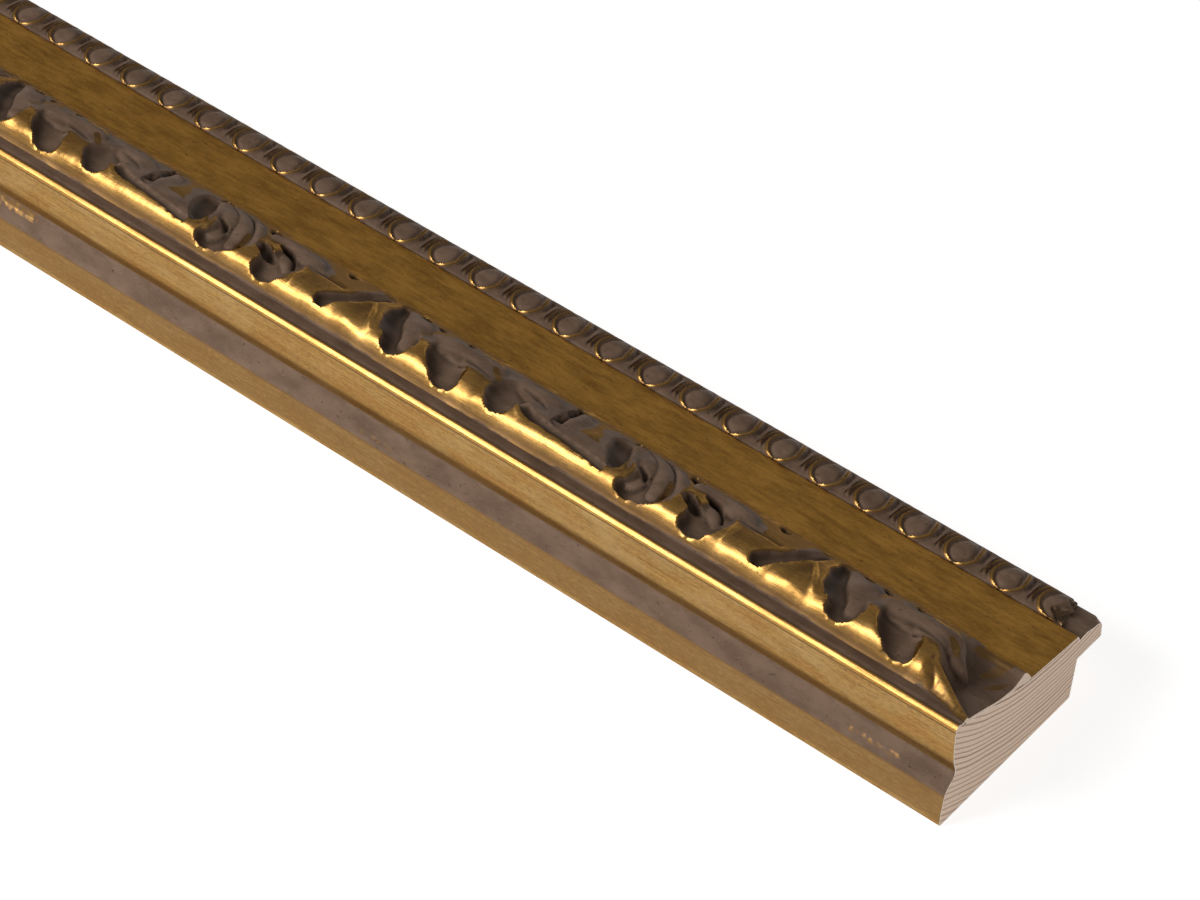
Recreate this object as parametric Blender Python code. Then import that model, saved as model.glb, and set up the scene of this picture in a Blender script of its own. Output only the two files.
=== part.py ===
# Length of gilded picture frame moulding: a wood core with a rabbet, a pressed strip of acanthus
# leaves along its outer shoulder and a pressed egg-and-dart strip along its sight edge.
# X runs along the moulding, -Y is the outer side, +Y the sight edge, and the flat back lies on Z = 0.
import bmesh
import bpy
import numpy as np

MM = 0.001

# driving sizes, in millimetres: y is measured from the outer face and z from the back
LENGTH = 280.0
WIDTH = 46.8
GAP = 0.3                   # clearance between a pressed strip and the wood that carries it

LOWER_BAND = 7.25           # height of the plain band above the back
COVE_DEPTH = 2.3
COVE_HEIGHT = 11.6          # where the cove is deepest
COVE_TOP = 15.2
UPPER_BAND_FOOT = 1.15      # how far the upper band stands in at its foot
UPPER_BAND_HEAD = 0.2
SHOULDER = 23.2
BEAD_CENTRE = (0.8, 23.45)
BEAD_RADIUS = 0.75
BEAD_END = 32.0             # degrees above level where the bead meets the flat behind it
FLAT_INNER = 2.4
FLAT_HEIGHT = 23.85
SEAT = ((FLAT_INNER, 22.9), (16.3, 18.85), (20.3, 17.9), (23.5, 16.7))      # wood under the leaves
PANEL = ((23.5, 17.55), (38.2, 16.1))       # sloped gilded panel, outer and inner edge
SIGHT_STEP = (38.3, 14.35)                  # foot of the step behind the panel
NOSE = (WIDTH, 13.4)
RABBET_DEPTH = 9.7
RABBET_WALL = 39.4

# acanthus strip: its section between the leaves, and over a leaf at full height
LEAF_EDGES = (2.7, 23.2)
LEAF_ROWS = 26
LEAF_STEP = 0.8             # spacing of the mesh along the strip, before it is thinned
LEAF_KEPT = 0.36            # share of the mesh that thinning keeps
LEAF_REPEAT = 99.0
LEAF_END = -10.2            # the leaves stop this far from the near cut
LEAF_END_SLOPE = 2.2        # length over which they come down there
LEAF_RELIEF = (4.4, 23.0)   # the relief lies between these, with plain borders outside
STRIP_THICKNESS = 0.5       # where it is thinnest
GROUND = ((2.2, 23.9), (5.0, 23.15), (9.0, 21.8), (13.0, 20.4), (16.0, 19.8), (17.8, 19.65),
          (19.6, 20.3), (21.0, 20.72), (21.7, 20.1), (23.5, 17.6))
BODY = ((2.7, 23.75), (4.3, 23.5), (4.5, 24.2), (5.0, 25.2), (5.8, 26.1), (7.2, 26.9), (9.5, 27.0),
        (12.5, 26.2), (16.0, 24.7), (19.0, 23.0), (20.6, 22.0), (21.6, 21.3), (22.2, 20.4), (23.5, 17.6))

# Leaves of one repeat. A stroke is a run of (distance from the near cut, distance from the outer
# face, half-width, height above the back). Valleys are scooped with a sideways tilt, and lobes
# are raised with a crown.
VALLEYS = (
    (0.10, ((-16.8, 7.2, 2.8, 24.6), (-17.4, 8.8, 3.8, 24.6), (-19.2, 11.0, 4.1, 24.5), (-21.4, 13.4, 3.6, 24.7))),
    (0.22, ((-29.8, 7.8, 3.2, 24.7), (-30.6, 9.5, 4.2, 24.6), (-32.9, 12.8, 4.4, 24.0), (-35.2, 16.0, 3.2, 22.8),
            (-36.8, 19.4, 1.6, 21.2))),
    (-0.15, ((-46.9, 7.2, 1.8, 25.0), (-46.0, 9.4, 2.3, 24.8), (-44.1, 12.4, 2.7, 24.1), (-42.0, 15.6, 2.9, 23.2),
             (-40.6, 18.8, 2.0, 21.9))),
    (0.05, ((-60.2, 7.4, 2.5, 24.8), (-59.2, 9.2, 3.7, 24.8), (-58.4, 11.5, 3.9, 24.6), (-58.4, 13.8, 3.2, 24.2))),
    (0.0, ((-75.0, 6.6, 1.8, 24.5), (-73.2, 8.0, 3.4, 24.8), (-71.0, 10.2, 5.2, 24.9), (-71.2, 13.0, 5.6, 24.5),
           (-73.0, 15.6, 5.2, 23.6))),
    (0.0, ((-79.2, 8.6, 1.4, 24.4), (-80.0, 10.4, 2.2, 23.6), (-81.2, 13.2, 2.7, 22.9), (-82.4, 16.4, 2.2, 22.2))),
    (0.0, ((-104.7, 8.0, 2.7, 24.9), (-105.0, 10.0, 3.6, 24.8), (-104.6, 12.5, 4.2, 24.4), (-103.0, 15.0, 4.0, 23.9))),
    (0.0, ((-100.4, 10.6, 1.0, 25.4), (-97.3, 9.2, 1.2, 25.0), (-93.0, 8.6, 0.9, 25.6), (-86.0, 8.0, 0.7, 26.0))),
    (0.0, ((-92.4, 11.2, 1.3, 24.2), (-93.0, 14.0, 1.1, 23.4), (-93.3, 17.6, 1.0, 22.0))),
    (0.0, ((-64.0, 11.2, 1.5, 23.9), (-62.2, 10.3, 1.3, 23.6), (-60.6, 10.0, 0.7, 24.4))),
    (0.0, ((-61.4, 15.6, 1.3, 22.6), (-59.4, 13.8, 0.9, 23.4), (-57.4, 11.6, 0.7, 24.0))),
)
LOBES = (
    (0.20, ((-24.5, 13.8, 2.6, 25.6), (-19.5, 15.0, 3.9, 25.6), (-14.5, 15.0, 3.9, 25.4), (-10.3, 13.0, 2.5, 25.3),
            (-7.0, 10.2, 0.7, 24.4))),
    (0.30, ((-65.2, 16.0, 1.2, 25.2), (-61.0, 17.6, 1.8, 24.8), (-56.0, 16.0, 2.4, 25.4), (-51.6, 13.2, 1.2, 25.8))),
    (0.40, ((-61.2, 13.2, 0.9, 25.0), (-59.0, 12.0, 1.3, 25.4), (-57.4, 10.4, 0.9, 25.2))),
    (0.25, ((-104.5, 16.6, 2.4, 24.6), (-100.0, 15.6, 3.4, 25.2), (-95.5, 13.8, 2.4, 25.4))),
    (0.35, ((-91.2, 11.6, 1.2, 26.4), (-90.8, 14.4, 2.1, 25.8), (-91.4, 17.6, 1.6, 24.2))),
    (0.55, ((-92.5, 9.9, 1.0, 26.9), (-87.0, 9.6, 1.4, 27.2), (-82.5, 8.6, 1.3, 26.9), (-79.4, 7.7, 0.9, 26.4))),
    (0.50, ((-79.5, 15.6, 0.8, 25.0), (-77.4, 12.6, 1.1, 25.8), (-76.2, 9.4, 0.8, 25.8))),
    (0.50, ((-78.0, 17.4, 0.9, 24.4), (-73.2, 14.6, 1.1, 25.2), (-70.2, 11.0, 1.2, 25.8), (-69.6, 8.2, 0.8, 25.8))),
    (0.50, ((-75.0, 18.6, 0.8, 23.8), (-70.4, 15.6, 1.1, 25.0), (-67.4, 11.8, 1.3, 25.8), (-66.6, 8.6, 0.9, 25.9))),
)
VALLEY_BOWL = (0.22, 0.9)   # rise of a valley's sides, over its width and close to its edge
VALLEY_ROUNDING = 0.15
LOBE_EDGE = (0.85, 6.0)     # where in its half-width a lobe's side drops away, and how steeply
LOBE_ROUNDING = 0.3

# egg-and-dart strip: the pitch is a little shorter near the cut
EGG_EDGES = (38.6, 46.7)
EGG_ROWS = 15
EGG_STEP = 0.5
EGG_KEPT = 0.24
EGG_END = -4.8              # the strip is torn off this far from the near cut
EGG_AXIS = -7.0             # axis of the egg nearest the cut
EGG_NEAR_PITCH = 9.72
EGG_FAR_PITCH = 10.05
EGG_NEAR_COUNT = 9          # pitches from the first egg to the change of pitch
OVOLO = ((38.6, 15.9), (39.6, 16.3), (41.3, 16.5), (43.2, 16.4), (44.8, 15.9), (46.0, 15.1), (46.8, 14.2))
EGG_CENTRE = 41.4
EGG_HALF_WIDTH = 2.45       # the egg inside its rim
EGG_HALF_HEIGHTS = (2.4, 3.3)
RIM_HALF_WIDTH = 3.2
RIM_HALF_HEIGHTS = (3.0, 4.1)
EGG_RISE = 0.35
RIM_RISE = 0.45
MOAT_DEPTH = 0.8
DART_HALF = 0.7
DART_RISE = 0.35
GROUND_DROP = 0.5           # how far the ground between the rims lies below them

# finishes: base colour, roughness, metallic
FINISHES = {
    "gilded_wood": ((0.30, 0.18, 0.055, 1.0), 0.42, 0.75),
    "gilded_and_washed_leaves": ((0.24, 0.16, 0.08, 1.0), 0.5, 0.4),
    "washed_egg_and_dart": ((0.12, 0.09, 0.07, 1.0), 0.6, 0.1),
}


def clear_scene():
    for thing in list(bpy.data.objects):
        bpy.data.objects.remove(thing, do_unlink=True)


def finish(name):
    colour, roughness, metallic = FINISHES[name]
    material = bpy.data.materials.new(name)
    material.use_nodes = True
    shader = material.node_tree.nodes["Principled BSDF"]
    shader.inputs["Base Color"].default_value = colour
    shader.inputs["Roughness"].default_value = roughness
    shader.inputs["Metallic"].default_value = metallic
    return material


def smooth(t):
    """Ease from 0 to 1, for any t."""
    t = np.clip(t, 0, 1)
    return t * t * (3 - 2 * t)


def through(stations, at):
    """Smooth curve through (place, value) stations, read at the given places."""
    place, value = np.array(stations, float).T
    slope = np.gradient(value, place)
    i = np.clip(np.searchsorted(place, at) - 1, 0, len(place) - 2)
    step = place[i + 1] - place[i]
    f = np.clip((at - place[i]) / step, 0, 1)
    return ((2 * f ** 3 - 3 * f ** 2 + 1) * value[i] + (f ** 3 - 2 * f ** 2 + f) * step * slope[i]
            + (3 * f ** 2 - 2 * f ** 3) * value[i + 1] + (f ** 3 - f ** 2) * step * slope[i + 1])


def along_path(points, t):
    """Catmull-Rom curve through a stroke's stations, t from 0 to 1."""
    p = np.array(points, float)
    p = np.vstack([2 * p[0] - p[1], p, 2 * p[-1] - p[-2]])
    s = t * (len(points) - 1)
    i = np.minimum(s.astype(int), len(points) - 2)
    f = (s - i)[..., None]
    a, b, c, d = p[i], p[i + 1], p[i + 2], p[i + 3]
    return 0.5 * (2 * b + (c - a) * f + (2 * a - 5 * b + 4 * c - d) * f ** 2 + (3 * b - a - 3 * c + d) * f ** 3)


def place_in_stroke(points, x, y, samples=22):
    """Distance from a stroke's centre line, its sign across, and the half-width and height there."""
    t = np.linspace(0, 1, samples)
    line = along_path(points, t)[:, :2]
    best = np.full(x.shape, np.inf)
    place = np.zeros(x.shape)
    across = np.zeros(x.shape)
    for k in range(samples - 1):
        vx, vy = line[k + 1] - line[k]
        f = np.clip(((x - line[k, 0]) * vx + (y - line[k, 1]) * vy) / (vx * vx + vy * vy), 0, 1)
        dx, dy = x - line[k, 0] - f * vx, y - line[k, 1] - f * vy
        distance = np.hypot(dx, dy)
        near = distance < best
        best = np.where(near, distance, best)
        place = np.where(near, t[k] + f * (t[k + 1] - t[k]), place)
        across = np.where(near, (vy * dx - vx * dy) / np.hypot(vx, vy), across)
    there = along_path(points, place)
    return best, across, np.maximum(there[..., 2], 0.05), there[..., 3]


def blend_up(low, high, radius):
    """Larger of two heights, rounded where they meet."""
    h = np.clip(0.5 + 0.5 * (high - low) / radius, 0, 1)
    return low * (1 - h) + high * h + radius * h * (1 - h)


def scoop(z, x, y, points, tilt):
    distance, across, half, floor = place_in_stroke(points, x, y)
    t = distance / half
    middle, edge = VALLEY_BOWL
    bowl = floor + half * (middle * t ** 2 + edge * t ** 6) + tilt * across
    return -blend_up(-z, -bowl, VALLEY_ROUNDING)


def raise_lobe(z, x, y, points, crown):
    distance, across, half, top = place_in_stroke(points, x, y)
    t = distance / half
    edge, steepness = LOBE_EDGE
    dome = top - crown * half * t ** 2 - steepness * half * np.clip(t - edge, 0, None) ** 1.5
    return blend_up(z, dome, LOBE_ROUNDING)


def leaf_height(x, y):
    """Top of the acanthus strip, x from the near cut and y from the outer face."""
    z = through(BODY, y)
    for turn in range(-1, 4):
        local = x + turn * LEAF_REPEAT
        for tilt, points in VALLEYS:
            z = scoop(z, local, y, points, tilt)
        for crown, points in LOBES:
            z = raise_lobe(z, local, y, points, crown)
    plain = through(GROUND, y)
    fade = smooth((x - LEAF_END) / LEAF_END_SLOPE)
    z = z * (1 - fade) + plain * fade
    z = np.where((y < LEAF_RELIEF[0]) | (y > LEAF_RELIEF[1]), plain, z)
    return np.maximum(z, leaf_underside(y) + STRIP_THICKNESS)


def leaf_underside(y):
    places, heights = zip(*SEAT)
    return np.interp(y, places, heights) + GAP


def egg_along(x):
    """Distance along the strip from the nearest egg's axis, and the pitch there."""
    change = EGG_AXIS - EGG_NEAR_COUNT * EGG_NEAR_PITCH
    pitch = np.where(x > change, EGG_NEAR_PITCH, EGG_FAR_PITCH)
    return (x - change + pitch / 2) % pitch - pitch / 2, pitch


def egg_height(x, y):
    """Top of the egg-and-dart strip."""
    along, pitch = egg_along(x)
    up = y - EGG_CENTRE
    inside = np.hypot(along / EGG_HALF_WIDTH, up / np.where(up < 0, *EGG_HALF_HEIGHTS))
    rim = np.hypot(along / RIM_HALF_WIDTH, up / np.where(up < 0, *RIM_HALF_HEIGHTS))
    egg = EGG_RISE * np.sqrt(np.clip(1 - inside ** 2, 0, 1))
    moat = -MOAT_DEPTH * np.clip(1 - np.abs(rim - 0.86) / 0.12, 0, 1)
    crest = RIM_RISE * np.clip(1 - np.abs(rim - 1.0) / 0.14, 0, 1)
    dart = DART_RISE * np.clip(1 - (pitch / 2 - np.abs(along)) / DART_HALF, 0, 1)
    between = -GROUND_DROP * smooth((rim - 1.05) * 4)
    return through(OVOLO, y) + np.where(inside < 1, egg, moat + crest) + between + dart


def egg_underside(y):
    return np.interp(y, (SIGHT_STEP[0], NOSE[0]), (SIGHT_STEP[1], NOSE[1])) + GAP


def wood_outline():
    """Cross-section of the wood core as (y, z) points, from the back's outer corner round the front."""
    points = [(0.0, 0.0)]
    for k in range(9):
        points.append((COVE_DEPTH * smooth(k / 8), LOWER_BAND + (COVE_HEIGHT - LOWER_BAND) * k / 8))
    for k in range(1, 7):
        y = COVE_DEPTH + (UPPER_BAND_FOOT - COVE_DEPTH) * smooth(k / 6)
        points.append((y, COVE_HEIGHT + (COVE_TOP - COVE_HEIGHT) * k / 6))
    points.append((UPPER_BAND_HEAD, SHOULDER))
    for angle in np.radians(np.linspace(180, BEAD_END, 7)):
        points.append((BEAD_CENTRE[0] + BEAD_RADIUS * np.cos(angle), BEAD_CENTRE[1] + BEAD_RADIUS * np.sin(angle)))
    points += [(FLAT_INNER, FLAT_HEIGHT), *SEAT, *PANEL, SIGHT_STEP, NOSE]
    points += [(WIDTH, RABBET_DEPTH), (RABBET_WALL, RABBET_DEPTH), (RABBET_WALL, 0.0)]
    return points


def placed(x, y, z):
    """Millimetres from the near cut and the outer face, to metres about the middle of the back."""
    return ((x + LENGTH / 2) * MM, (y - WIDTH / 2) * MM, z * MM)


def new_object(name, bm, material, collection):
    mesh = bpy.data.meshes.new(name)
    bm.to_mesh(mesh)
    bm.free()
    mesh.materials.append(finish(material))
    thing = bpy.data.objects.new(name, mesh)
    collection.objects.link(thing)
    return thing


def wood_moulding(collection):
    """The core: its outline is drawn once, at the far cut, and extruded to the near cut."""
    bm = bmesh.new()
    ring = [bm.verts.new(placed(-LENGTH, y, z)) for y, z in wood_outline()]
    face = bm.faces.new(ring)
    run = bmesh.ops.extrude_face_region(bm, geom=[face])
    moved = [item for item in run["geom"] if isinstance(item, bmesh.types.BMVert)]
    bmesh.ops.translate(bm, vec=(LENGTH * MM, 0, 0), verts=moved)
    bmesh.ops.recalc_face_normals(bm, faces=bm.faces)
    new_object("wood_moulding", bm, "gilded_wood", collection)


def relief_strip(name, edges, rows, near, step, kept, top, underside, material, collection):
    """A pressed strip: a grid that takes the height of its relief, with a back that follows the
    wood. The relief is thinned where it is plain, and the strip's borders and back stay exact."""
    columns = round((LENGTH + near) / step)
    bm = bmesh.new()
    group = bm.verts.layers.deform.verify()
    bmesh.ops.create_grid(bm, x_segments=columns, y_segments=rows, size=1.0)
    back = bmesh.ops.extrude_face_region(bm, geom=list(bm.faces), use_keep_orig=True)
    lower = {item for item in back["geom"] if isinstance(item, bmesh.types.BMVert)}
    vertices = list(bm.verts)
    u = np.array([(v.co.x + 1) / 2 for v in vertices])
    w = np.array([(v.co.y + 1) / 2 for v in vertices])
    x = -LENGTH + u * (LENGTH + near)
    y = edges[0] + w * (edges[1] - edges[0])
    z = np.where([v in lower for v in vertices], underside(y), top(x, y))
    within = (np.abs(u - 0.5) < 0.499) & (np.abs(w - 0.5) < 0.499)
    for vertex, place, free in zip(vertices, zip(x, y, z), within):
        vertex.co = placed(*place)
        if free and vertex not in lower:
            vertex[group][0] = 1.0
    bmesh.ops.recalc_face_normals(bm, faces=bm.faces)
    seen = {edge for vertex in lower for edge in vertex.link_edges}
    bmesh.ops.dissolve_limit(bm, angle_limit=0.001, verts=list(lower), edges=list(seen))
    strip = new_object(name, bm, material, collection)
    strip.vertex_groups.new(name="relief")
    thin = strip.modifiers.new("thin", "DECIMATE")
    thin.ratio = kept
    thin.vertex_group = "relief"


def main():
    clear_scene()
    collection = bpy.data.collections.new("picture_frame_moulding")
    bpy.context.scene.collection.children.link(collection)
    wood_moulding(collection)
    relief_strip("acanthus_strip", LEAF_EDGES, LEAF_ROWS, 0.0, LEAF_STEP, LEAF_KEPT,
                 leaf_height, leaf_underside, "gilded_and_washed_leaves", collection)
    relief_strip("egg_and_dart_strip", EGG_EDGES, EGG_ROWS, EGG_END, EGG_STEP, EGG_KEPT,
                 egg_height, egg_underside, "washed_egg_and_dart", collection)


main()
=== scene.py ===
import math

import bmesh
import bpy
import numpy as np
from mathutils import Matrix, Vector


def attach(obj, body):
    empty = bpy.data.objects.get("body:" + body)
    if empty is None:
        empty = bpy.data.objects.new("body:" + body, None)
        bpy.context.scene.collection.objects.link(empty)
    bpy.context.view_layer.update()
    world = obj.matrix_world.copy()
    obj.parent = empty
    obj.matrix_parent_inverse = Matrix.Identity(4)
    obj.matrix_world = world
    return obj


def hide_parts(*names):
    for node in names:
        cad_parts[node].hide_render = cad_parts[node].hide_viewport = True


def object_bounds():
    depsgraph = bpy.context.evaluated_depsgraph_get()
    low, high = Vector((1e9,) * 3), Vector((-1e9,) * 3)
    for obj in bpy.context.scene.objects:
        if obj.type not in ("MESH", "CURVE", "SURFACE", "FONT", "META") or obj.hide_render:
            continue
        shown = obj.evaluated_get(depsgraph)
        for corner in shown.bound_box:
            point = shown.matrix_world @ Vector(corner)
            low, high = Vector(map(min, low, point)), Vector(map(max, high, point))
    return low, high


bl_info = {
    "name": "Gilded Frame Moulding",
    "version": (1, 0, 0),
    "blender": (4, 5, 0),
    "location": "View3D > Sidebar > Moulding",
    "description": "Dresses picture frame moulding in pressed ornament, gold leaf and taupe wash",
    "category": "Add Mesh",
}

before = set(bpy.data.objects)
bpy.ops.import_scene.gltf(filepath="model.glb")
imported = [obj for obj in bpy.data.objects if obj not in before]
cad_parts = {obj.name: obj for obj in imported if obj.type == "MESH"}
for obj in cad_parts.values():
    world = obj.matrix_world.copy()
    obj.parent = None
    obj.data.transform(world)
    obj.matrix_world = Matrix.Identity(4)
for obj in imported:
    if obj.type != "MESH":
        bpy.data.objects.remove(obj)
CAD_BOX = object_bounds()
MM = 0.001
LENGTH = (CAD_BOX[1].x - CAD_BOX[0].x) / MM

# Everything up to the stage is in millimetres: x runs back from the near cut and is negative, y is
# measured from the outer face towards the sight edge, and z from the flat back.

# the core's section; the outer face is given as (height, how far in from the outer face)
OUTER_FACE = (
    (0, 0.35), (0.35, 0.05), (0.8, 0), (6.6, 0), (7.3, 0.06), (7.9, 0.2), (8.43, 0.42), (9.11, 0.8),
    (9.63, 1.3), (10.12, 1.85), (10.82, 2.22), (11.75, 2.3), (13.03, 1.95), (14.53, 1.36), (16.85, 0.88),
    (19.14, 0.5), (21.1, 0.3), (22.3, 0.14), (22.65, 0.22), (22.85, 0.26), (23, 0.16), (23.15, 0.06)
)
# heights that the outer face has rows at, as (from, to, how many)
OUTER_ROWS = ((0, 0.8, 5), (1.6, 6.4, 7), (6.8, 13.6, 24), (14.2, 22.2, 11), (22.5, 23.1, 9))
BEAD_SHADOW = (22.62, 22.98)  # heights of the dark line under the bead
WASHED_COVE = (7.45, 11.9)  # heights between which the outer face is washed taupe
# painted shade: a band of brown film that darkens the outer face above the washed cove
COVE_SHADE = (12.4, 3.4)  # height and reach of the brown film that fades out above the wash
BEAD = (
    (0.06, 23.28), (0.10, 23.46), (0.22, 23.64), (0.44, 23.85), (0.68, 24.06), (0.88, 24.17),
    (1.08, 24.19), (1.22, 24.10), (1.36, 23.96), (1.48, 23.88)
)
BEAD_GILDED = (0.8, 1.5)  # how far in the gilding of the bead starts and stops to thin out
WARM_LEAF = 0.5  # how far the leaf on bead and ornament leans to the panel's warmer gold
LOWER_FILM = 0.28  # brown film on the band below the cove
# gold rubbed bare in the cove, as (from, to, height, half-height, how bare)
SCUFFS = (
    (-21, -9, 9.1, 0.5, 0.42), (-228, -213, 10.6, 1, 0.75), (-68, -54, 11.2, 0.5, 0.30),
    (-132, -116, 8.8, 0.5, 0.30)
)
FLAT = ((1.6, 23.86), (2.2, 23.85), (2.38, 23.85), (2.46, 23.55))
SEAT = ((3.2, 23), (16.3, 19.13), (20.3, 18.18), (23.1, 17.2))
PANEL = ((23.3, 17.57), (38.05, 16.12))
SIGHT_GROUND = (
    (38.25, 16), (38.6, 15.3), (38.95, 14.7), (39.6, 14.8), (41, 14.95), (42.1, 14.7), (43.1, 14.35),
    (44.7, 14.2), (46.2, 13.9), (46.65, 13.6), (46.8, 13.2)
)
RABBET = ((46.8, 10), (46.6, 9.72), (39.6, 9.7), (39.4, 9.5), (39.4, 0.25), (39.15, 0))

# acanthus strip: its width, and its section where it is plain and where a leaf is at its fullest
LEAF_BAND = (2.42, 23.42)
GROUND = (
    (2.2, 23.9), (5, 23.15), (9, 21.8), (13, 20.4), (16, 19.8), (17.8, 19.65), (19.6, 20.3),
    (21, 20.72), (21.7, 20.1), (23.5, 17.6)
)
BODY = (
    (2.2, 23.88), (4.4, 23.66), (4.6, 24.02), (4.9, 24.60), (5.2, 25.18), (5.5, 25.70), (5.8, 26.12),
    (6.2, 26.52), (6.7, 26.84), (7.4, 27.08), (8.3, 27.18), (9.4, 27.12), (12.5, 26.2), (16, 24.7),
    (19, 23), (20.6, 22), (21.6, 21.3), (22.2, 20.4), (23.5, 17.6)
)
# brown film over the leaf, front to ridge, and painted shade: it darkens the steep foot of the front roll,
# dims its highlight and darkens the faces behind it
FILM_AND_SHADE = (
    (0, 0.24), (5, 0.28), (5.6, 0.15), (7.4, 0.14), (8.8, 0.28), (13, 0.32), (16, 0.42),
    (23.5, 0.46)
)
# how far in the wash on the flat reaches, along one repeat
FOOT = (
    (-112.5, 4.1), (-104, 4.4), (-95, 4), (-85, 4.5), (-72, 4.2), (-60, 4.5), (-45, 4.4),
    (-34, 4.4), (-27, 4.1), (-21, 4.1), (-13.5, 4.2)
)
# strokes that make the front roll lean back, so that more of it shines
SLOPES = {
    "long roll": ((-103.6, 6.1, 2.4, 0), (-101, 6.3, 2.7, -0.36), (-98, 6.2, 2.7, -0.36),
        (-92, 6, 2.6, -0.12), (-85, 5.8, 2.4, -0.04), (-80, 5.6, 2.2, 0)),
    "roll between fan and scroll": ((-69, 5.6, 2.2, 0), (-66.5, 5.9, 2.3, -0.12),
        (-64, 6, 2.4, -0.14), (-61.8, 5.8, 2.2, 0)),
    "roll beside the scroll": ((-56.6, 5.6, 2.2, 0), (-53.6, 6.1, 2.6, -0.36), (-50.5, 6, 2.5, -0.14),
        (-46.5, 5.9, 2.4, -0.05)),
    "roll of the gold face": ((-45.2, 6, 2.4, -0.1), (-42.8, 6.2, 2.5, -0.36), (-39.4, 5.9, 2.4, -0.05),
        (-36.8, 6.1, 2.5, -0.25), (-34.6, 6.3, 2.7, -0.50), (-32.4, 6, 2.4, -0.22),
        (-30, 5.6, 2.2, 0)),
    "roll before the end valley": ((-27.5, 5.7, 2.2, 0), (-25, 5.9, 2.4, -0.22),
        (-22, 5.8, 2.4, -0.15), (-19, 5.6, 2.2, 0)),
    "last face": ((-15.6, 6, 2.4, -0.1), (-13.6, 6.3, 2.8, -0.55), (-11.6, 6.2, 2.8, -0.45),
        (-9, 5.8, 2.4, -0.1)),
}
ROLL_KEPT = (4.5, 5.6)  # valleys fade out over this width before the foot of the front roll
RIDGE_RUBBED = (18.8, 20.2)  # where the wash thins out again towards the ridge
# height that the leaves are held down to towards the ridge
LEAF_CAP = (
    (0, 29), (13, 27.4), (16, 25.9), (18.5, 23.9), (20, 22.7), (21.2, 21.7), (22.2, 20.5),
    (23.5, 17.6)
)
LEAF_UNDERSIDE = ((2.3, 23.2), (23.5, 17))
LEAF_END = (-10.8, 5.6)  # where the leaves come down to the tail, and over what length
# front roll running on to the cut: along x, its front edge, its back edge and its rise
TAIL = (
    (-13, 4.2, 11.9, 4.7), (-11.4, 4.1, 11.7, 4.7), (-10.2, 4.1, 11.2, 4.3), (-9, 4, 10.4, 3.6),
    (-7, 3.8, 8.95, 2.55), (-5, 3.3, 7.45, 1.75), (-3, 2.7, 6, 1.1), (-1.2, 2.1, 4.7, 0.65),
    (0, 1.8, 3.9, 0.5)
)
TAIL_CREST = 0.68  # how far across the roll its crest is

# Strokes of one repeat of the leaves: stations of (x, y, half-width, height or rise).
# A valley has a sideways tilt, and a lobe the taupe that is painted on it and its crown.
VALLEYS = {
    "end valley": (0.10, ((-16.3, 6.8, 2.9, 24.1), (-17.2, 8.7, 3.6, 24.3), (-19.3, 11, 3.9, 24.5),
        (-21, 13.4, 3.6, 24.8))),
    "second valley": (0.22, ((-28.5, 8, 3.1, 24.4), (-28.8, 9.6, 4.1, 24.5), (-30.6, 12.8, 4.6, 24.3),
        (-33.2, 16, 3.6, 23.2), (-35.2, 19.4, 1.8, 21.8))),
    "narrow valley": (-0.10, ((-46.1, 7.7, 1.6, 25.2), (-44.5, 9.6, 1.7, 25), (-42.6, 12.4, 1.6, 24.6),
        (-41, 15.6, 1.6, 23.5), (-40, 18.8, 1.4, 22.1))),
    "scroll valley": (0.05, ((-59.4, 6.8, 3, 24.1), (-58.8, 8.8, 4.2, 24.5), (-58.2, 11.5, 4.3, 24.6),
        (-58.2, 13.8, 3.4, 24.2))),
    "fan": (0, ((-73.6, 6.4, 2.4, 24.1), (-71.6, 8, 4, 24.6), (-70.2, 10.4, 5.4, 24.9),
        (-70.8, 13, 5.7, 24.6), (-72.8, 15.6, 5.3, 23.8))),
    "hollow": (-0.22, ((-78.7, 9.2, 1.2, 25.2), (-79.4, 10.8, 1.7, 24.5), (-80.6, 13.4, 2.3, 23.8),
        (-82, 16.8, 2.4, 22.9))),
    "far valley": (0, ((-103.7, 8.4, 3, 24.7), (-104.2, 9.9, 4, 24.6), (-104.2, 12.5, 4.5, 24.3),
        (-103, 15, 4.3, 23.8))),
    "stem shadow": (0, ((-100.4, 10.6, 1, 25.6), (-97.3, 9, 0.9, 25.7), (-93, 8.4, 0.7, 26.2),
        (-86, 7.7, 0.6, 26.4), (-80, 7, 0.6, 26.1))),
    "leaf gap": (0, ((-92.4, 11.2, 1.3, 24.2), (-93, 14, 1.1, 23.4), (-93.3, 17.6, 1, 22))),
    "scroll eye": (0, ((-64.6, 12.2, 1.2, 24.3), (-62.6, 10.9, 1, 23.8), (-60.8, 10.7, 0.6, 24.5))),
    "scroll notch": (0, ((-61.4, 15.6, 1.3, 22.6), (-59.4, 13.8, 0.9, 23.4), (-57.4, 11.6, 0.7, 24))),
}
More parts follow.
